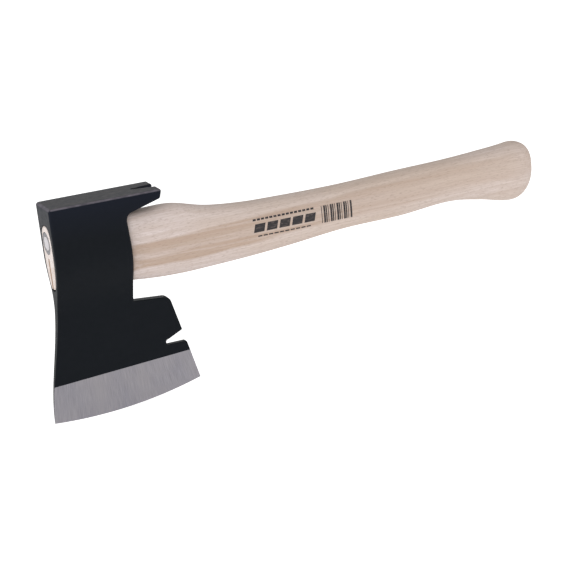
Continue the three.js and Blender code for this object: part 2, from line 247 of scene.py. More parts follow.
def finish_piece(piece, slot, *nodes):
    """Smooths a piece and says which CAD nodes it stands for."""
    for face in piece.data.polygons:
        face.use_smooth = True
    piece.data.set_sharp_from_angle(angle=SMOOTH_UP_TO)
    weigh = piece.modifiers.new("flat_faces_stay_flat", "WEIGHTED_NORMAL")
    weigh.keep_sharp = True
    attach(piece, "root")
    if nodes:
        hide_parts(*nodes)
    low = [round(min(v.co[axis] for v in piece.data.vertices) / MM, 2) for axis in range(3)]
    high = [round(max(v.co[axis] for v in piece.data.vertices) / MM, 2) for axis in range(3)]
    print(piece.name, "from", low, "to", high, "mm,", len(piece.data.polygons), "faces")


def bezier(points, steps):
    """Points along a Bezier curve of any degree."""
    curve = []
    for step in range(steps + 1):
        row = [Vector(point) for point in points]
        while len(row) > 1:
            row = [a.lerp(b, step / steps) for a, b in zip(row, row[1:])]
        curve.append(row[0])
    return curve


def rounded(before, corner, after, radius, steps=6):
    """The arc that rounds off a corner between two other points."""
    back, forth = (before - corner).normalized(), (after - corner).normalized()
    half = back.angle(forth) / 2
    centre = corner + (back + forth).normalized() * (radius / math.sin(half))
    reach = radius / math.tan(half)
    first = (corner + back * reach - centre).normalized()
    last = (corner + forth * reach - centre).normalized()
    return [centre + radius * first.slerp(last, step / steps) for step in range(steps + 1)]


def inward(loop):
    """For each point of a clockwise loop, the step that moves its two sides in by one unit."""
    steps = []
    for i, point in enumerate(loop):
        before = (point - loop[i - 1]).normalized()
        after = (loop[(i + 1) % len(loop)] - point).normalized()
        sides = [Vector((line.y, -line.x)) for line in (before, after)]
        steps.append((sides[0] + sides[1]) / (1 + sides[0].dot(sides[1])))
    return steps


# %% [markdown]
# ## The outline of the head
#
# Seen from the side, the head is one closed line: the flat poll on top runs on as the claw, the
# rear of the eye drops to the beard, the beard leans back to the heel with a nail notch cut into
# it, and a long arc is the cutting edge. Straight stretches need only their ends. Corners are
# small arcs, because a forging has no knife-sharp corners except at its edge.

# %% Draw the outline
EYE_LENGTH = 56 * MM
FRONT, REAR = -EYE_LENGTH / 2, EYE_LENGTH / 2
FOOT_OF_EYE = Vector((FRONT + 1.5 * MM, -60.5 * MM))
EDGE_RADIUS = 310 * MM
TOE_RISE = 1.2 * MM
BEARD_ROOT = Vector((REAR, -78.2 * MM))
BEARD_TIP = Vector((REAR + 26.6 * MM, -80.4 * MM))
CLAW_ROOT = Vector((REAR - 1.4 * MM, -13.8 * MM))
CLAW_REACH = 25.4 * MM
CLAW_TIP_SLANT = 1.6 * MM
CLAW_TIP_DEPTH = 6.6 * MM
CLAW_FILLET = 4.6 * MM
REAR_FACE_PULL = Vector((REAR + 2.2 * MM, -56 * MM))  # the handle of the rear face's curve
BEVEL_AT_TOE, BEVEL_AT_HEEL = 26.5 * MM, 23 * MM
NOTCH_DEPTH = 14.8 * MM
NOTCH_ROOT_RADIUS = 2 * MM
NOTCH_ABOVE_BEVEL = 9.1 * MM
NOTCH_CLIMB = 6 / 12.8  # slope of the notch's upper side
TOE_CURVE, FRONT_CURVE = 30 * MM, 37 * MM  # handles of the front curve, at the toe and the eye
POLL_CORNER = 2.2 * MM
CLAW_TIP_CORNER, CLAW_UNDER_CORNER = 1.5 * MM, 2 * MM
BEARD_ROOT_CORNER, BEARD_TIP_CORNER = 0.9 * MM, 5.5 * MM
NOTCH_UPPER_CORNER, NOTCH_LOWER_CORNER = 0.8 * MM, 1.5 * MM

toe = Vector((head_low.x, head_low.z + TOE_RISE))
edge_centre = Vector((
    toe.x + math.sqrt(EDGE_RADIUS ** 2 - (EDGE_RADIUS - TOE_RISE) ** 2),
    head_low.z + EDGE_RADIUS,
))
heel_fall = math.sqrt(EDGE_RADIUS ** 2 - (head_high.x - edge_centre.x) ** 2)
heel = Vector((head_high.x, edge_centre.y - heel_fall))
up_the_rear = (BEARD_TIP - heel).normalized()
bevel_line = [toe + Vector((0, BEVEL_AT_TOE)), heel + BEVEL_AT_HEEL * up_the_rear]


def rear_of_blade(height):
    """The point of the blade's leaning rear at a height."""
    return heel + up_the_rear * ((height - heel.y) / up_the_rear.y)


def head_outline():
    """The head's outline, clockwise from the front of the poll, and its front and rear walls."""
    poll_front = Vector((FRONT, 0))
    claw_tip = Vector((REAR + CLAW_REACH, 0))
    claw_under = claw_tip - Vector((CLAW_TIP_SLANT, CLAW_TIP_DEPTH))
    under_claw = (claw_under - CLAW_ROOT).normalized()
    fillet = [CLAW_ROOT + CLAW_FILLET * under_claw, CLAW_ROOT, CLAW_ROOT - Vector((0, CLAW_FILLET))]
    rear_wall = bezier(fillet, 8) + bezier([fillet[-1], REAR_FACE_PULL, BEARD_ROOT], 16)[1:-1]

    notch = Vector((0, bevel_line[1].y + NOTCH_ABOVE_BEVEL))
    notch.x = rear_of_blade(notch.y).x - NOTCH_DEPTH + NOTCH_ROOT_RADIUS
    upper_side = notch + Vector((0, NOTCH_ROOT_RADIUS))
    lower_side = notch - Vector((0, NOTCH_ROOT_RADIUS))
    upper_lip = geometry.intersect_line_line_2d(
        upper_side, upper_side + Vector((1, NOTCH_CLIMB)) * NOTCH_DEPTH * 2, heel, BEARD_TIP)
    lower_lip = rear_of_blade(lower_side.y)
    root = [
        notch + NOTCH_ROOT_RADIUS * Vector((math.cos(turn), math.sin(turn)))
        for turn in (math.radians(90 + 18 * step) for step in range(11))
    ]

    start = math.atan2(heel.y - edge_centre.y, heel.x - edge_centre.x)
    end = math.atan2(toe.y - edge_centre.y, toe.x - edge_centre.x)
    edge = [
        edge_centre + EDGE_RADIUS * Vector((math.cos(turn), math.sin(turn)))
        for turn in (start + (end - start) * step / 48 for step in range(49))
    ]
    above_toe, below_eye = toe + Vector((0, TOE_CURVE)), FOOT_OF_EYE - Vector((0, FRONT_CURVE))
    toe_curve = bezier([toe, above_toe, below_eye, FOOT_OF_EYE], 28)

    outline = [
        *rounded(FOOT_OF_EYE, poll_front, claw_tip, POLL_CORNER),
        *rounded(poll_front, claw_tip, claw_under, CLAW_TIP_CORNER),
        *rounded(claw_tip, claw_under, CLAW_ROOT, CLAW_UNDER_CORNER),
        *rear_wall,
        *rounded(rear_wall[-1], BEARD_ROOT, BEARD_TIP, BEARD_ROOT_CORNER),
        *rounded(BEARD_ROOT, BEARD_TIP, heel, BEARD_TIP_CORNER, 10),
        *rounded(BEARD_TIP, upper_lip, upper_side, NOTCH_UPPER_CORNER),
        *root,
        *rounded(lower_side, lower_lip, heel, NOTCH_LOWER_CORNER),
        *edge,
        *toe_curve[1:],
    ]
    front_wall = [poll_front, FOOT_OF_EYE, *reversed(toe_curve[:-1])]
    return outline, front_wall, [fillet[0], *rear_wall[1:], BEARD_ROOT]


outline, front_wall, rear_wall = head_outline()
print("outline:", len(outline), "points; heel at", [round(place / MM, 1) for place in heel], "mm")

# %% [markdown]
# ## Black lacquer
#
# The forging is dipped in a thin black lacquer. It is satin, with a faint cool tint, and it
# follows the hammer scale underneath: a broad, shallow unevenness and a fine skin on top. Both
# are noise, at two scales, and drive the bump and the roughness. Towards the poll the black is
# painted bluer, a painted sheen. Along the rims of the poll a dull grey is painted in, a painted
# highlight mixed in the grey of rubbed-through lacquer. A rim is where two distances add up to
# their most, the height and the distance from the middle, so their sum is the mask, broken up by
# noise. The flat of the poll has fine scuffs that run lengthwise.

# %% Mix the lacquer


def object_space(tree, stretch=(1, 1, 1)):
    """Coordinates in metres on the hatchet, stretched along its axes."""
    place = wire(tree, "TexCoord").outputs["Object"]
    return wire(tree, "Mapping", {"Vector": place, "Scale": stretch}).outputs[0]


def noise(tree, vector, scale, detail=2.0, rough=0.5, **settings):
    made = wire(tree, "TexNoise", {
        "Vector": vector, "Scale": scale, "Detail": detail, "Roughness": rough}, **settings)
    return made.outputs[0]


def calculate(tree, operation, *values):
    """One step of arithmetic on numbers or on other nodes' outputs."""
    return wire(tree, "Math", dict(enumerate(values)), operation=operation).outputs[0]


def spread(tree, value, low, high, to_low=0.0, to_high=1.0):
    """Stretches the part of a value between low and high over a new range."""
    return wire(tree, "MapRange", {
        "Value": value, "From Min": low, "From Max": high, "To Min": to_low, "To Max": to_high,
    }).outputs[0]


def blend_colours(tree, share, first, second, way="MIX"):
    made = wire(tree, "Mix", {"Factor": share}, data_type="RGBA", blend_type=way)
    for name, value in ((6, first), (7, second)):
        if isinstance(value, bpy.types.NodeSocket):
            tree.links.new(value, made.inputs[name])
        else:
            made.inputs[name].default_value = (*value, 1)
    return made.outputs[2]


def bump(tree, height, distance, strength=1.0, under=None):
    sockets = {"Height": height, "Distance": distance, "Strength": strength}
    if under is not None:
        sockets["Normal"] = under
    return wire(tree, "Bump", sockets).outputs[0]


def painted_rim_highlight(tree):
    """A mask for the painted rim highlight: one on the rims of the poll, patchy, and zero elsewhere."""
    place = wire(tree, "SeparateXYZ", {0: wire(tree, "TexCoord").outputs["Object"]}).outputs
    out_sideways = calculate(tree, "ADD", place["Z"], calculate(tree, "ABSOLUTE", place["Y"]))
    out_forwards = calculate(tree, "SUBTRACT", place["Z"], place["X"])
    long_rims = spread(tree, out_sideways, head_high.y - 1.5 * MM, head_high.y - 0.9 * MM)
    front_rim = spread(tree, out_forwards, -FRONT - 2.1 * MM, -FRONT - 1.2 * MM)
    patches = spread(tree, noise(tree, object_space(tree), 160, 3), 0.35, 0.6, 0.55, 1.0)
    return calculate(tree, "MULTIPLY", calculate(tree, "MAXIMUM", long_rims, front_rim), patches)


def make_lacquer():
    material, tree, output = fresh_material("black_lacquer")
    place = object_space(tree)
    broad = noise(tree, place, 55, 3)
    skin_grain = noise(tree, place, 1400, 2)
    mottled = noise(tree, place, 220, 4, 0.6)
    height = wire(tree, "SeparateXYZ", {0: wire(tree, "TexCoord").outputs["Object"]}).outputs["Z"]
    black = blend_colours(tree, mottled, (0.0032, 0.0042, 0.0056), (0.0062, 0.0074, 0.0094))
    # Painted sheen: the black is painted bluer towards the poll, where a reflection shows on the cheek.
    sheen_near_poll = spread(tree, height, -26 * MM, -2 * MM, 0, 0.6)
    painted_sheen_colour = blend_colours(tree, sheen_near_poll, black, (0.008, 0.010, 0.019))
    scuffs = noise(tree, object_space(tree, (60, 700, 700)), 1.0, 3, 0.6)
    on_top = spread(tree, height, -0.7 * MM, -0.2 * MM)
    scuffed = calculate(tree, "MULTIPLY", on_top, spread(tree, scuffs, 0.4, 0.7))
    topped = blend_colours(tree, scuffed, painted_sheen_colour, (0.034, 0.028, 0.026))
    # Painted highlight: the poll's rims are painted a dull grey where the rounding would catch the
    # light.
    wear_and_rim_highlight = blend_colours(tree, painted_rim_highlight(tree), topped, (0.17, 0.155, 0.18))
    waves = bump(tree, broad, 0.5 * MM, 0.35)
    skin_bump = bump(tree, skin_grain, 0.02 * MM, 0.5, waves)
    surface = wire(tree, "BsdfPrincipled", {
        "Base Color": wear_and_rim_highlight,
        "Roughness": spread(tree, mottled, 0.3, 0.7, 0.36, 0.46),
        "Specular IOR Level": 0.11,
        "Specular Tint": (0.82, 0.88, 1.0, 1),
        "Normal": skin_bump,
    })
    tree.links.new(surface.outputs[0], output.inputs["Surface"])
    return material


lacquer = make_lacquer()

# %% [markdown]
# ## Ground steel
#
# The bevel is ground on a wheel that crosses the edge, so its scratches all run from the poll
# to the edge and fan out slightly along the arc. Coordinates round the arc's centre do that: the
# angle counts the scratches, and the distance from the centre runs along each one. The noise is
# squeezed by the thousand across the scratches and only a little along them.

# %% Mix the ground steel


def fan_space(tree, across, along):
    """Coordinates round the cutting edge's centre: across the scratches, and along them."""
    place = wire(tree, "SeparateXYZ", {0: wire(tree, "TexCoord").outputs["Object"]}).outputs
    right = calculate(tree, "SUBTRACT", place["X"], edge_centre.x)
    down = calculate(tree, "SUBTRACT", edge_centre.y, place["Z"])
    turn = calculate(tree, "MULTIPLY", calculate(tree, "ARCTAN2", right, down), EDGE_RADIUS * across)
    reach = calculate(tree, "MULTIPLY", down, along)
    side = calculate(tree, "MULTIPLY", place["Y"], 40.0)
    return wire(tree, "CombineXYZ", {"X": turn, "Y": side, "Z": reach}).outputs[0]


def make_ground_steel():
    material, tree, output = fresh_material("ground_steel")
    fine = noise(tree, fan_space(tree, 3800, 90), 1.0, 3, 0.6)
    coarse = noise(tree, fan_space(tree, 900, 50), 1.0, 2)
    cloud = noise(tree, fan_space(tree, 60, 30), 1.0, 2)
    streaks = blend_colours(tree, coarse, (0.30, 0.29, 0.32), (0.43, 0.418, 0.455))
    hairlines = spread(tree, fine, 0.35, 0.65)
    scratched = blend_colours(tree, hairlines, (0.24, 0.232, 0.258), streaks)
    patchy = blend_colours(tree, spread(tree, cloud, 0.3, 0.7, 0, 0.4), scratched, (0.385, 0.36, 0.365))
    surface = wire(tree, "BsdfPrincipled", {
        "Base Color": patchy,
        "Metallic": 1.0,
        "Roughness": spread(tree, fine, 0.3, 0.7, 0.42, 0.54),
        "Normal": bump(tree, fine, 0.012 * MM, 0.6),
    })
    tree.links.new(surface.outputs[0], output.inputs["Surface"])
    return material


ground_steel = make_ground_steel()

# %% [markdown]
# ## The body of the head
#
# From the front the head is a wedge with shoulders: full width at the poll, the same round the
# eye, then the cheeks draw in to a thin blade, and a bevel is ground to the edge. So the head is
# made as a flat plate first, with rims of a quarter round, and each point is then pressed in to
# the thickness that belongs to its place. The plate is scored with straight cuts beforehand, to
# give the press enough points, and once along the bevel line, which has to stay straight.
#
# The bevel is ground after the head is lacquered, so it lies a tenth of a millimetre lower and
# meets the lacquer in a fine bright step. Its faces get the bare steel.

# %% Press the plate into a head
RIM_ROUND = 1.6 * MM
RIM_STEPS = 4
THINNEST_SHARE = 0.22  # a rim's rounding takes at most this share of the half thickness
EYE_WAIST = -36 * MM
EYE_WIDTH_LOSS = 0.6 * MM
CHEEK_CURVE = 0.36
BLADE_HALF = 3.5 * MM
BEVEL_HALF = 1.9 * MM
EDGE_HALF = 0.2 * MM
GRIND_DEPTH = 0.1 * MM
GRIND_STEP = 0.35 * MM  # how far below the bevel line the ground face is fully sunk
LACQUER, STEEL = 0, 1

poll_half = head_high.y
eye_half = poll_half - EYE_WIDTH_LOSS
belly = CHEEK_CURVE * (EYE_WAIST - BEARD_ROOT.y)
cheek = bezier([
    (eye_half, EYE_WAIST),
    (eye_half, EYE_WAIST - belly),
    (BLADE_HALF, BEARD_ROOT.y + belly),
    (BLADE_HALF, BEARD_ROOT.y),
], 60)
along_bevel = bevel_line[1] - bevel_line[0]
across_bevel = Vector((-along_bevel.y, along_bevel.x)).normalized()


def line_height(place):
    """Height of the bevel line above a place along the head."""
    return bevel_line[0].y + along_bevel.y * (place - bevel_line[0].x) / along_bevel.x


def edge_height(place):
    return edge_centre.y - math.sqrt(EDGE_RADIUS ** 2 - (place - edge_centre.x) ** 2)


def mix(a, b, share):
    return a + (b - a) * share


def half_thickness(point):
    """Half the head's thickness at a point of its side view."""
    above_line = (point - bevel_line[0]).dot(across_bevel)
    if point.y > EYE_WAIST:
        return mix(poll_half, eye_half, point.y / EYE_WAIST)
    if point.y > BEARD_ROOT.y:
        for upper, lower in zip(cheek, cheek[1:]):
            if lower.y <= point.y:
                return mix(upper.x, lower.x, (upper.y - point.y) / (upper.y - lower.y))
    line = line_height(point.x)
    if above_line > -1e-7:
        return mix(BLADE_HALF, BEVEL_HALF, (BEARD_ROOT.y - point.y) / (BEARD_ROOT.y - line))
    share = (line - point.y) / (line - edge_height(point.x))
    sunk = GRIND_DEPTH * min(1, -above_line / GRIND_STEP)
    return max(EDGE_HALF, mix(BEVEL_HALF - sunk, EDGE_HALF, min(1, share)))


def score(mesh, point, normal):
    """Cuts all faces along a plane that stands square on the side view."""
    bmesh.ops.bisect_plane(
        mesh,
        geom=[*mesh.verts, *mesh.edges, *mesh.faces],
        dist=0.02 * MM,
        plane_co=(point.x, 0, point.y),
        plane_no=(normal.x, 0, normal.y),
    )


def make_plate():
    """The flat plate: the outline pushed through, with quarter-round rims."""
    steps = inward(outline)
    radii = [min(RIM_ROUND, THINNEST_SHARE * half_thickness(point)) for point in outline]
    rings = []
    for side in (-1, 1):
        for step in range(RIM_STEPS + 1):
            turn = math.radians(90 * (step if side > 0 else RIM_STEPS - step) / RIM_STEPS)
            ring = []
            for point, step_in, radius in zip(outline, steps, radii):
                flat = point + step_in * radius * (1 - math.cos(turn))
                ring.append((flat.x, side * (poll_half - radius * (1 - math.sin(turn))), flat.y))
            rings.append(ring)
    return skin(rings)


def press(mesh):
    """Moves each point of the flat plate in to the head's real thickness there."""
    for vertex in mesh.verts:
        sunk = poll_half - abs(vertex.co.y)
        half = half_thickness(Vector((vertex.co.x, vertex.co.z)))
        vertex.co.y = math.copysign(half - sunk, vertex.co.y)


def mark_bevel(mesh):
    """Gives the bare steel to the ground faces and the cutting edge, but not to the walls."""
    mesh.normal_update()
    for face in mesh.faces:
        middle = face.calc_center_median()
        below = (Vector((middle.x, middle.z)) - bevel_line[0]).dot(across_bevel) < 0
        ground = abs(face.normal.y) > 0.3 or face.normal.z < -0.9
        face.material_index = STEEL if below and ground else LACQUER


plate = make_plate()
for height in range(-2, -154, -3):
    score(plate, Vector((0, height * MM)), Vector((0, 1)))
for place in range(-32, 73, 6):
    score(plate, Vector((place * MM, 0)), Vector((1, 0)))
score(plate, bevel_line[0], across_bevel)
score(plate, bevel_line[0] - GRIND_STEP * across_bevel, across_bevel)
press(plate)
mark_bevel(plate)
head = as_object("forged_head", plate, lacquer, ground_steel)
print("plate pressed:", len(head.data.polygons), "faces")

# %% [markdown]
# ## The eye and the claw
#
# The eye is an egg-shaped hole that runs the length of the head and opens slightly to the rear,
# so that the handle can be driven in. Its rims are broken by a small round, and so are the
# claw's. A cutter can do that by itself: where it leaves the steel it flares out along a quarter
# circle, and the boolean prints that flare into the rim.

# %% Cut the eye and the claw
EYE_TOP = 14 * MM
EYE_HEIGHT_FRONT, EYE_HEIGHT_REAR = 46.5 * MM, 49.5 * MM
EYE_HALF_WIDTH = 9 * MM
EGG_TAPER = 0.22  # 0 is an even oval, more is wider above than below
EGG_SQUARENESS = 2.5
EYE_POINTS = 112
RIM_FLARE = 0.6 * MM
WELL_OUTSIDE = 8 * MM
FLARE_TURNS = [math.radians(angle) for angle in (90, 67.5, 45, 22.5, 0)]
FLARES = [(-WELL_OUTSIDE, RIM_FLARE)]  # each row: how deep in the steel, and how much wider
for turn in FLARE_TURNS:
    FLARES.append((RIM_FLARE * (1 - math.sin(turn)), RIM_FLARE * (1 - math.cos(turn))))


def egg(place, middle, half_height, half_width, taper, count=EYE_POINTS):
    """An egg-shaped ring of points at a place along the hatchet, wider above than below."""

    def bend(value):
        return math.copysign(abs(value) ** (2 / EGG_SQUARENESS), value)

    ring = []
    for i in range(count):
        turn = 2 * math.pi * i / count
        across = bend(math.cos(turn)) * (1 + taper * math.sin(turn))
        ring.append(Vector((place, half_width * across, middle + half_height * bend(math.sin(turn)))))
    return ring


def eye_at(place):
    """Middle, half height and half width of the eye at a place along the head."""
    height = mix(EYE_HEIGHT_FRONT, EYE_HEIGHT_REAR, (place - FRONT) / EYE_LENGTH)
    return -EYE_TOP - height / 2, height / 2, EYE_HALF_WIDTH


def wall_at(wall, height):
    """Where a wall of the head lies at a height. The wall's points run from the top down."""
    for upper, lower in zip(wall, wall[1:]):
        if lower.y <= height:
            share = max(0, (upper.y - height) / (upper.y - lower.y))
            return mix(upper.x, lower.x, share)
    return wall[-1].x


def eye_cutter():
    ways = [(front_wall, FRONT, 1), (rear_wall, REAR, -1)]
    rings = []
    for wall, place, into in ways:
        for depth, grown in FLARES if into > 0 else reversed(FLARES):
            middle, half_height, half_width = eye_at(place)
            ring = egg(place, middle, half_height + grown, half_width + grown, EGG_TAPER)
            for point in ring:
                point.x = wall_at(wall, point.z) + into * depth
            rings.append(ring)
    return as_object("eye_cutter", skin(rings))


SLOT_LENGTH = 17.5 * MM
SLOT_MOUTH = 8.6 * MM
SLOT_ROOT_RADIUS = 0.9 * MM


def slot_plan():
    """The claw's V seen from above, clockwise, with its mouth flared at the tips."""
    tip = REAR + CLAW_REACH
    root = Vector((tip - SLOT_LENGTH + SLOT_ROOT_RADIUS, 0))
    mouth = SLOT_MOUTH / 2
    upper = [
        root + SLOT_ROOT_RADIUS * Vector((math.cos(turn), math.sin(turn)))
        for turn in (math.radians(180 - 18 * step) for step in range(6))
    ]
    for turn in reversed(FLARE_TURNS):
        upper.append(Vector((
            tip - RIM_FLARE * (1 - math.sin(turn)),
            mouth + RIM_FLARE * (1 - math.cos(turn)),
        )))
    upper.append(Vector((tip + WELL_OUTSIDE, mouth + RIM_FLARE)))
    return upper + [Vector((point.x, -point.y)) for point in reversed(upper[1:])]


def claw_cutter():
    plan = slot_plan()
    steps = inward(plan)
    tip = REAR + CLAW_REACH
    slope = (CLAW_ROOT.y + CLAW_TIP_DEPTH) / (CLAW_REACH - CLAW_TIP_SLANT)
    rings = []
    for below in (False, True):
        for depth, grown in reversed(FLARES) if below else FLARES:
            ring = []
            for point, step_in in zip(plan, steps):
                moved = point - grown * step_in
                under = min(-CLAW_TIP_DEPTH, CLAW_ROOT.y - slope * (moved.x - REAR))
                height = under + depth if below else -depth
                if point.x > tip - 1.01 * RIM_FLARE:
                    moved.x -= CLAW_TIP_SLANT * min(1, max(0, -height / CLAW_TIP_DEPTH))
                ring.append((moved.x, moved.y, height))
            rings.append(ring)
    return as_object("claw_cutter", skin(rings))


cut_away(head, eye_cutter(), claw_cutter())
finish_piece(head, "black_lacquered_steel", "axe_head")

# %% [markdown]
# ## Beech
#
# Beech is pale, with a pinkish cast. This billet was sawn so that its yearly layers run the
# length of the handle and cut its sides in long, nearly straight lines. A brown stripe of
# heartwood, darker at both its sides, lies between two of them. All of that depends on one
# number only, how deep a point lies in the log, so that number is worked out first: mostly the
# height, tilted a little along and across the handle, and bent by slow noise. The same number
# then makes the figure on the sides, on the rounds and on the end grain. Fine fibres and short
# dark flecks, which are beech's mark, go on top. The freshly sawn end grain is paler, and inside
# the steel ring it is greyed.

# %% Mix the beech
GRAIN_CLIMB = 0.04  # how fast the layers rise along the handle
GRAIN_TILT = 0.3  # and across it
WANDER, RIPPLE = 9 * MM, 2.2 * MM  # how far slow and quicker noise bend the layers
LAYER = 1.7 * MM
HEART_DEPTH = -45 * MM
HEART_HALF = 9.4 * MM
HEART_FADES = (120 * MM, 330 * MM)  # where along the handle the brown stripe grows paler
RING_BELOW_EYE_TOP = 12.3 * MM
RING_CENTRE = -EYE_TOP - RING_BELOW_EYE_TOP


def depth_in_log(tree):
    """How deep a point lies in the log, in metres."""
    place = wire(tree, "SeparateXYZ", {0: wire(tree, "TexCoord").outputs["Object"]}).outputs
    wander = noise(tree, object_space(tree, (9, 16, 16)), 1.0, 2)
    ripple = noise(tree, object_space(tree, (45, 90, 90)), 1.0, 2)
    climbed = calculate(tree, "MULTIPLY_ADD", place["X"], -GRAIN_CLIMB, place["Z"])
    tilted = calculate(tree, "MULTIPLY_ADD", place["Y"], GRAIN_TILT, climbed)
    bent = calculate(tree, "MULTIPLY_ADD", wander, WANDER, tilted)
    return calculate(tree, "MULTIPLY_ADD", ripple, RIPPLE, bent), place


def make_beech():
    material, tree, output = fresh_material("beech")
    depth, place = depth_in_log(tree)
    layer_count = calculate(tree, "MULTIPLY", depth, 1 / LAYER)
    late_wood = spread(tree, calculate(tree, "FRACT", layer_count), 0.5, 1.0)
    layer_noise = {"W": layer_count, "Scale": 0.5, "Detail": 2.0}
    shade = wire(tree, "TexNoise", layer_noise, noise_dimensions="1D").outputs[0]
    fibres = noise(tree, object_space(tree, (24, 1100, 1100)), 1.0, 3, 0.6)
    streaks = noise(tree, object_space(tree, (7, 300, 300)), 1.0, 3, 0.55)
    patches = noise(tree, object_space(tree, (8, 26, 26)), 1.0, 2)
    drift = calculate(tree, "ADD", patches, spread(tree, place["X"], 50 * MM, 190 * MM, -0.15, 0.16))
    flecks = noise(tree, object_space(tree, (300, 1900, 1900)), 1.0, 1)

    pink, yellow, brown = (0.69, 0.60, 0.575), (0.635, 0.525, 0.455), (0.482, 0.356, 0.281)
    base = blend_colours(tree, spread(tree, drift, 0.38, 0.62), pink, yellow)
    from_heart = calculate(tree, "ABSOLUTE", calculate(tree, "SUBTRACT", depth, HEART_DEPTH))
    in_heart = spread(tree, from_heart, HEART_HALF - 1.4 * MM, HEART_HALF + 0.8 * MM, 1.0, 0.0)
    darker_sides = spread(tree, from_heart, 1.2 * MM, 5.5 * MM, 0.6, 1.0)
    faded = calculate(tree, "MULTIPLY", darker_sides, spread(tree, place["X"], *HEART_FADES, 1.0, 0.3))
    veins = noise(tree, object_space(tree, (9, 420, 420)), 1.0, 3, 0.6)
    veined = calculate(tree, "MULTIPLY", faded, spread(tree, veins, 0.38, 0.6, 0.55, 1.3))
    hearted = blend_colours(tree, calculate(tree, "MULTIPLY", veined, in_heart), base, brown)
    banded = blend_colours(tree, spread(tree, shade, 0.45, 0.68, 0, 0.3), hearted, (0.50, 0.40, 0.34))
    lined = blend_colours(tree, calculate(tree, "MULTIPLY", late_wood, 0.16), banded, (0.42, 0.30, 0.22))
    streaked = blend_colours(tree, spread(tree, streaks, 0.4, 0.7, 0, 0.32), lined, (0.48, 0.37, 0.30))
    fibred = blend_colours(tree, spread(tree, fibres, 0.35, 0.72, 0, 0.3), streaked, (0.46, 0.35, 0.28))
    flecked = blend_colours(tree, spread(tree, flecks, 0.58, 0.68, 0, 0.4), fibred, (0.34, 0.24, 0.19))

    beside_ring = calculate(tree, "SUBTRACT", place["Z"], RING_CENTRE)
    from_ring = calculate(tree, "SQRT", calculate(
        tree, "MULTIPLY_ADD", beside_ring, beside_ring, calculate(tree, "POWER", place["Y"], 2.0)))
    at_ring = calculate(
        tree, "MULTIPLY",
        spread(tree, from_ring, 4.4 * MM, 5.2 * MM, 0.8, 0.0),
        calculate(tree, "LESS_THAN", place["X"], FRONT + 3 * MM))
    at_tenon = spread(tree, place["X"], FRONT + 2.5 * MM, FRONT + 3 * MM, 0.5, 0.0)
    paler = blend_colours(tree, at_tenon, flecked, (0.80, 0.74, 0.72))
    greyed = blend_colours(tree, at_ring, paler, (0.55, 0.54, 0.57))
    surface = wire(tree, "BsdfPrincipled", {
        "Base Color": greyed,
        "Roughness": spread(tree, fibres, 0.3, 0.7, 0.5, 0.62),
        "Specular IOR Level": 0.35,
        "Normal": bump(tree, fibres, 0.03 * MM, 0.5),
    })
    tree.links.new(surface.outputs[0], output.inputs["Surface"])
    return material


beech = make_beech()

# %% [markdown]
# ## The handle
#
# A hatchet handle is turned on a copying lathe from one piece of beech and sanded. It is egg
# shaped in the eye, swells right behind the head, slims to the grip and ends in a knob that
# stops the hand. Stations along it give its height, its width and how far it bends down, and a
# smooth curve through the stations gives every ring between them. The first rings lean forward
# to the head, so that the shoulder follows the head's curved rear face.

# %% Turn the handle
SWELL_HEIGHT, SWELL_WIDTH = 50.8, 22.0
GRIP_HEIGHT, GRIP_WIDTH = 33.0, 23.0
WRIST_HEIGHT, WRIST_WIDTH = 32.4, 22.5
KNOB_HEIGHT, KNOB_WIDTH, KNOB_LENGTH = 43.0, 29.0, 62.0
KNOB_ROUND = 19 * MM
KNOB_SQUARENESS = 2.3
KNOB_FLAT = 0.1  # share of the knob's section that is flat at its very end
FIT_GAP = 0.3 * MM
SHOULDER_LIP = 0.5 * MM
SHOULDER_LIP_LENGTH = 0.7 * MM
SHOULDER_LIP_FADE = 5 * MM
SHOULDER_LEAN_LENGTH = 8 * MM
TENON_STOPS_SHORT = 2.2 * MM  # of the rear of the eye, where the shoulder takes over
TENON_FOOT_GAP = 1.6 * MM  # the tenon stops this far above the foot of the eye
HANDLE_RINGS = 130
HANDLE_POINTS = 96
# How the tenon's end is rounded, in millimetres: depth behind its face, and how much narrower.
TENON_END = [(0, 0.9), (0.25, 0.45), (0.6, 0.12), (1.2, 0)]

handle_end = handle_high.x
tenon_proud = FRONT - handle_low.x
shoulder = (REAR + REAR_FACE_PULL.x) / 2 + FIT_GAP
wrist = handle_end - KNOB_LENGTH * MM
grip = (wrist - shoulder) / MM
rear_middle, rear_half_height, rear_half_width = eye_at(REAR)
tenon_height = 2 * (rear_half_height - FIT_GAP) / MM
tenon_width = 2 * (rear_half_width - FIT_GAP) / MM
knob_start = grip + KNOB_LENGTH
# Each row, in millimetres: place behind the shoulder, drop of the middle, height, width, taper.
STATIONS = [
    (0, 0, tenon_height, tenon_width, EGG_TAPER),
    (6, 0.7, SWELL_HEIGHT - 1.6, SWELL_WIDTH - 1, 0.18),
    (0.13 * grip, 1.7, SWELL_HEIGHT, SWELL_WIDTH, 0.12),
    (0.23 * grip, 4.5, (SWELL_HEIGHT + GRIP_HEIGHT) / 2 + 2, SWELL_WIDTH, 0.06),
    (0.34 * grip, 5.4, GRIP_HEIGHT + 6.5, GRIP_WIDTH, 0.04),
    (0.45 * grip, 4.8, GRIP_HEIGHT + 3.7, GRIP_WIDTH, 0.02),
    (0.63 * grip, 2.8, GRIP_HEIGHT - 0.7, GRIP_WIDTH, 0),
    (0.8 * grip, 1.6, WRIST_HEIGHT + 0.8, GRIP_WIDTH, 0),
    (grip, -0.4, WRIST_HEIGHT, WRIST_WIDTH, 0),
    (grip + 0.28 * KNOB_LENGTH, 0.5, (WRIST_HEIGHT + KNOB_HEIGHT) / 2 - 1.4, 24.5, 0),
    (knob_start - KNOB_ROUND / MM, 1.8, KNOB_HEIGHT, KNOB_WIDTH, 0),
    (knob_start, -1.6, KNOB_HEIGHT, KNOB_WIDTH, 0),
]


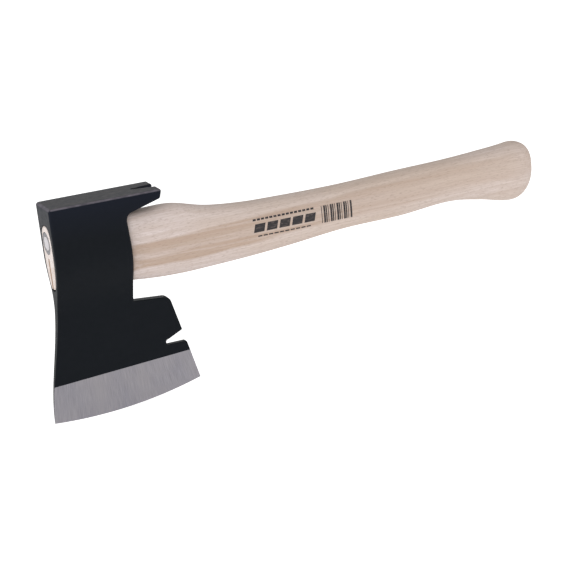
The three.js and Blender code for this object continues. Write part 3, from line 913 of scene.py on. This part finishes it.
def slope_at(row, column):
    """How fast a column of the stations changes at a row, level at both ends."""
    if row in (0, len(STATIONS) - 1):
        near = STATIONS[1] if row == 0 else STATIONS[-2]
        return (STATIONS[row][column] - near[column]) / (STATIONS[row][0] - near[0])
    before, here, after = STATIONS[row - 1], STATIONS[row], STATIONS[row + 1]
    gap_before, gap_after = here[0] - before[0], after[0] - here[0]
    rise_before = (here[column] - before[column]) / gap_before
    rise_after = (after[column] - here[column]) / gap_after
    return (rise_before * gap_after + rise_after * gap_before) / (gap_before + gap_after)


def handle_section(place):
    """Middle, half height, half width and taper of the handle at a place along it."""
    behind = (place - shoulder) / MM
    row = max(i for i in range(len(STATIONS) - 1) if STATIONS[i][0] <= behind + 1e-6)
    gap = STATIONS[row + 1][0] - STATIONS[row][0]
    t = (behind - STATIONS[row][0]) / gap
    found = []
    for column in range(1, 5):
        a, b = STATIONS[row][column], STATIONS[row + 1][column]
        leave, arrive = slope_at(row, column) * gap, slope_at(row + 1, column) * gap
        found.append(
            a * (2 * t ** 3 - 3 * t ** 2 + 1) + leave * (t ** 3 - 2 * t ** 2 + t)
            + b * (3 * t ** 2 - 2 * t ** 3) + arrive * (t ** 3 - t ** 2))
    drop, height, width, taper = found
    lip_share = min(1, behind * MM / SHOULDER_LIP_LENGTH)
    lip = SHOULDER_LIP * lip_share * math.exp(-behind * MM / SHOULDER_LIP_FADE)
    into_knob = max(0, (place - handle_end + KNOB_ROUND) / KNOB_ROUND)
    round_off = max(KNOB_FLAT, (1 - into_knob ** KNOB_SQUARENESS) ** (1 / KNOB_SQUARENESS))
    half_height = (height / 2 * MM + lip) * round_off
    half_width = min(width / 2 * MM + lip, handle_high.y) * round_off
    return rear_middle - drop * MM, half_height, half_width, taper


def tenon_face(height):
    """Where the tenon's slanting end lies at a height."""
    return wall_at(front_wall, height) - tenon_proud


def lean_to_head(ring, place):
    """Brings a ring's points up to the head's rear face, less and less behind the shoulder."""
    share = math.exp(-((place - shoulder) / SHOULDER_LEAN_LENGTH) ** 2)
    for point in ring:
        point.x += share * (wall_at(rear_wall, point.z) + FIT_GAP - shoulder)
    return ring


def make_handle(name):
    rings = []
    middle, half_height, half_width = eye_at(FRONT)
    for depth, shrink in TENON_END:
        less = FIT_GAP + shrink * MM
        ring = egg(FRONT, middle, half_height - less, half_width - less, EGG_TAPER, HANDLE_POINTS)
        for point in ring:
            point.z = max(point.z, middle - half_height + TENON_FOOT_GAP)
            point.x = tenon_face(point.z) + depth * MM
        rings.append(ring)
    tenon_back = REAR - TENON_STOPS_SHORT
    middle, half_height, half_width = eye_at(tenon_back)
    rings.append(egg(
        tenon_back, middle, half_height - FIT_GAP, half_width - FIT_GAP, EGG_TAPER, HANDLE_POINTS))
    lip_end = shoulder + SHOULDER_LIP_LENGTH
    places = [shoulder, shoulder + SHOULDER_LIP_LENGTH / 2, lip_end]
    for step in range(1, HANDLE_RINGS + 1):
        places.append(mix(lip_end, handle_end, math.sin(math.pi / 2 * step / HANDLE_RINGS)))
    for place in places:
        middle, half_height, half_width, taper = handle_section(place)
        ring = egg(place, middle, half_height, half_width, taper, HANDLE_POINTS)
        rings.append(lean_to_head(ring, place))
    return as_object(name, skin(rings), beech)


handle = make_handle("beech_handle")
print("handle turned:", len(handle.data.polygons), "faces")

# %% [markdown]
# ## Finishes of the wedges
#
# The ring is dull, blotchy steel. The wooden wedge is a darker, browner wood with coarse fibres.
# One noise drives the colour, the roughness and the bump of each, because on a rough end all three
# change together.

# %% Mix the wedges' finishes


def make_ring_steel():
    material, tree, output = fresh_material("ring_steel")
    blotches = noise(tree, object_space(tree), 900, 3, 0.6)
    colour = blend_colours(tree, blotches, (0.14, 0.135, 0.145), (0.38, 0.37, 0.39))
    surface = wire(tree, "BsdfPrincipled", {
        "Base Color": colour,
        "Metallic": 1.0,
        "Roughness": spread(tree, blotches, 0.3, 0.7, 0.32, 0.5),
        "Normal": bump(tree, blotches, 0.05 * MM, 0.5),
    })
    tree.links.new(surface.outputs[0], output.inputs["Surface"])
    return material


def make_brown_wood():
    material, tree, output = fresh_material("brown_wood")
    fibres = noise(tree, object_space(tree, (60, 1500, 500)), 1.0, 3, 0.6)
    colour = blend_colours(tree, fibres, (0.19, 0.10, 0.055), (0.42, 0.26, 0.15))
    surface = wire(tree, "BsdfPrincipled", {
        "Base Color": colour,
        "Roughness": spread(tree, fibres, 0.3, 0.7, 0.62, 0.78),
        "Normal": bump(tree, fibres, 0.08 * MM, 0.6),
    })
    tree.links.new(surface.outputs[0], output.inputs["Surface"])
    return material


ring_steel, brown_wood = make_ring_steel(), make_brown_wood()

# %% [markdown]
# ## The two wedges
#
# The tenon is spread in the eye by a steel ring, driven into the end grain, and by a thin
# wooden wedge below it. Both are driven flush with the slanting front of the tenon. The ring is
# a skin that meets itself, and its rim is rounded by the hammer. The groove and the kerf that
# they sit in are cut out of the handle with slightly larger copies.

# %% Drive the wedges
RING_TO_EYE = 1.2 * MM  # wood and gap between the ring and the sides of the eye
RING_OUTSIDE = EYE_HALF_WIDTH - RING_TO_EYE
RING_WALL = 2.8 * MM  # at the end that shows
RING_POINT_WALL = 0.5 * MM
RING_LENGTH = 14 * MM
RING_BORE = 3 * MM  # length of the straight bore before it opens out
RING_RIM = 0.35 * MM
WEDGE_BELOW_RING = 3.2 * MM
WEDGE_TOP = RING_CENTRE - RING_OUTSIDE - WEDGE_BELOW_RING
WEDGE_ABOVE_FOOT = 0.2 * MM  # the wedge's lower edge, above the foot of the tenon
WEDGE_SUNK = 0.05 * MM  # its end, behind the tenon's
WEDGE_ROUND = 0.25 * MM
WEDGE_LENGTH = 26 * MM
WEDGE_HALF, WEDGE_POINT_HALF = 1.2 * MM, 0.4 * MM
WEDGE_GAP = 0.12 * MM
ROUND_STEPS = 72


def ring_wedge_skin(gap, start):
    """The ring, or with a gap the groove for it. It starts at a depth behind the tenon's end."""
    inside, outside = RING_OUTSIDE - RING_WALL - gap, RING_OUTSIDE + gap
    end = RING_LENGTH + gap
    rim = RING_RIM if gap == 0 else 0
    profile = [
        (inside, start + rim),
        (inside + 0.3 * rim, start + 0.3 * rim),
        (inside + rim, start),
        (outside - rim, start),
        (outside - 0.3 * rim, start + 0.3 * rim),
        (outside, start + rim),
        (outside, end),
        (outside - RING_POINT_WALL - 2 * gap, end),
        (inside, RING_BORE),
    ]
    rings = []
    for radius, depth in profile:
        ring = []
        for i in range(ROUND_STEPS):
            turn = 2 * math.pi * i / ROUND_STEPS
            height = RING_CENTRE + radius * math.sin(turn)
            ring.append((tenon_face(height) + depth, radius * math.cos(turn), height))
        rings.append(ring)
    return skin(rings, ring_shaped=True)


def wood_wedge_skin(gap, start, foot_drop):
    """The wooden wedge, or with a gap the kerf for it."""
    middle, half_height, _ = eye_at(FRONT)
    foot = middle - half_height + TENON_FOOT_GAP + WEDGE_ABOVE_FOOT - foot_drop
    top = WEDGE_TOP + gap
    stations = [(start, 0), (WEDGE_LENGTH + gap, 0)]
    if gap == 0:
        stations = [(start, WEDGE_ROUND), (start + WEDGE_ROUND, 0), (WEDGE_LENGTH, 0)]
    rings = []
    for depth, shrink in stations:
        half = mix(WEDGE_HALF, WEDGE_POINT_HALF, depth / WEDGE_LENGTH) + gap - shrink
        low, high = foot + shrink, top - shrink
        rings.append([
            (tenon_face(height) + depth, side * half, height)
            for side, height in ((-1, low), (1, low), (1, high), (-1, high))
        ])
    return skin(rings)


ring_groove = as_object("ring_groove", ring_wedge_skin(WEDGE_GAP, -WELL_OUTSIDE))
kerf = as_object("kerf", wood_wedge_skin(WEDGE_GAP, -WELL_OUTSIDE, WELL_OUTSIDE))
cut_away(handle, ring_groove, kerf)
ring_wedge = as_object("steel_ring_wedge", ring_wedge_skin(0, 0), ring_steel)
wood_wedge = as_object("brown_wood_wedge", wood_wedge_skin(0, WEDGE_SUNK, 0), brown_wood)
finish_piece(handle, "beech", "handle")
finish_piece(ring_wedge, "bare_steel", "ring_wedge")
finish_piece(wood_wedge, "brown_wood", "wood_wedge")

# %% [markdown]
# ## Printed marks
#
# A handle like this carries an ink print on its side. Its words are left out. Plain bars, rules
# and stripes stand in for them, which say nothing and name nobody. A material could mask the ink
# in, but its edges would be hard to place, so each mark is a wafer of ink that follows the wood's
# curve and stands a few hundredths of a millimetre proud of it.

# %% Print the marks
INK_PROUD = 0.05 * MM
INK_SUNK = 0.15 * MM
INK_MESH = 1.5  # millimetres between the points of a mark


def side_of_handle(place, height):
    """How far out the handle's side stands at a place and a height."""
    middle, half_height, half_width, taper = handle_section(place)
    rise = (height - middle) / half_height
    sine = math.copysign(abs(rise) ** (EGG_SQUARENESS / 2), rise)
    cosine = math.sqrt(1 - sine ** 2)
    return half_width * cosine ** (2 / EGG_SQUARENESS) * (1 + taper * sine)


def ink_bar(mesh, start, end, low, high, slant=0.0):
    """Adds one bar of ink to a mesh, in millimetres along the handle and up it."""
    columns = max(2, round((end - start) / INK_MESH) + 1)
    rows = max(2, round((high - low) / INK_MESH) + 1)
    layers = []
    for proud in (INK_PROUD, -INK_SUNK):
        grid = []
        for row in range(rows):
            height = mix(low, high, row / (rows - 1))
            shift = slant * (height - low)
            line = []
            for column in range(columns):
                place = (mix(start, end, column / (columns - 1)) + shift) * MM
                out = side_of_handle(place, height * MM) + proud
                line.append(mesh.verts.new((place, -out, height * MM)))
            grid.append(line)
        layers.append(grid)
    top, bottom = layers
    for row in range(rows - 1):
        for column in range(columns - 1):
            for grid in layers:
                lower, higher = grid[row], grid[row + 1]
                mesh.faces.new((
                    lower[column], lower[column + 1], higher[column + 1], higher[column]))
    border = [(0, column) for column in range(columns)]
    border += [(row, columns - 1) for row in range(1, rows)]
    border += [(rows - 1, column) for column in range(columns - 2, -1, -1)]
    border += [(row, 0) for row in range(rows - 2, 0, -1)]
    for (a, b), (c, d) in zip(border, border[1:] + border[:1]):
        mesh.faces.new((top[a][b], top[c][d], bottom[c][d], bottom[a][b]))


def ink_piece(name, bars, material):
    mesh = bmesh.new()
    for bar in bars:
        ink_bar(mesh, *bar)
    bmesh.ops.recalc_face_normals(mesh, faces=mesh.faces)
    finish_piece(as_object(name, mesh, material), None)


def make_ink():
    material, tree, output = fresh_material("black_ink")
    wear_and_rim_highlight = noise(tree, object_space(tree, (300, 900, 900)), 1.0, 3, 0.6)
    thin = spread(tree, wear_and_rim_highlight, 0.52, 0.8)
    colour = blend_colours(tree, thin, (0.018, 0.014, 0.016), (0.13, 0.10, 0.09))
    surface = wire(tree, "BsdfPrincipled", {"Base Color": colour, "Roughness": 0.6})
    tree.links.new(surface.outputs[0], output.inputs["Surface"])
    return material


def row_of_bars(count, first, pitch, length, low, high, slant=0.0):
    """Equal bars along the handle, all sizes in millimetres."""
    starts = [first + pitch * i for i in range(count)]
    return [(start, start + length, low, high, slant) for start in starts]


def row_of_stripes(count, first, pitch, thinnest, step, low, high):
    """Upright stripes in three thicknesses by turns, all sizes in millimetres."""
    stripes = []
    for i in range(count):
        start = first + pitch * i
        stripes.append((start, start + thinnest + step * ((i * 5) % 3), low, high))
    return stripes


ink = make_ink()
bold = row_of_bars(5, 119, 9.8, 8, -45, -39, slant=0.25)
upper_rule = row_of_bars(15, 119, 3.2, 2.4, -36.6, -35.2)
lower_rule = row_of_bars(10, 122, 4.2, 3.2, -48.4, -47.5)
stripes = row_of_stripes(14, 172, 1.75, 0.5, 0.45, -48, -35.4)
ink_piece("ink_bold_bars", bold, ink)
ink_piece("ink_upper_rule", upper_rule, ink)
ink_piece("ink_lower_rule", lower_rule, ink)
ink_piece("ink_stripes", stripes, ink)
